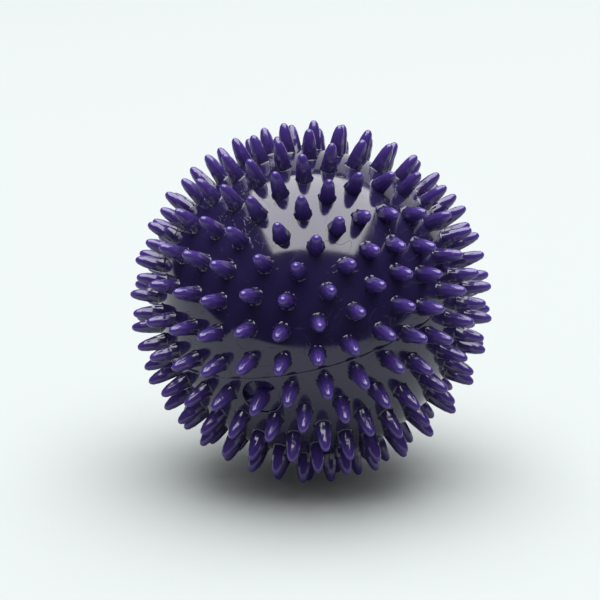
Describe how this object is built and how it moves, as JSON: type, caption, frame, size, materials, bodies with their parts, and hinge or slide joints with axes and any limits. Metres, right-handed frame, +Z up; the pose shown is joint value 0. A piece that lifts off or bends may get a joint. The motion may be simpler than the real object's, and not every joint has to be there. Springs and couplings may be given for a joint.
{
  "type": "spiky massage ball",
  "caption": "Hollow spiky massage ball of soft glossy plastic, welded from two halves, with a pull-out inflation plug that carries one of the spikes.",
  "frame": {"origin": "centre of the ball", "axes": "+Z up as the ball rests on four spike tips, -Y towards the viewer, +X to the viewer's right; the ring axis of the spikes is level, 53.9 degrees clockwise of +X seen from above, and the weld plane is turned 17.9 degrees about it"},
  "size_m": [0.0996, 0.0998, 0.099],
  "materials": {
    "shell": "gloss",
    "plug": "gloss",
    "seat": "satin"
  },
  "bodies": {
    "ball": {"upper_shell": "shell", "lower_shell": "shell", "valve_seat": "seat"},
    "plug": {"valve_plug": "plug"}
  },
  "joints": [
    {"name": "plug_pull", "type": "slide", "parent": "ball", "child": "plug", "axis": [-0.3073, -0.8652, -0.3963], "range_m": [0, 0.012]}
  ]
}
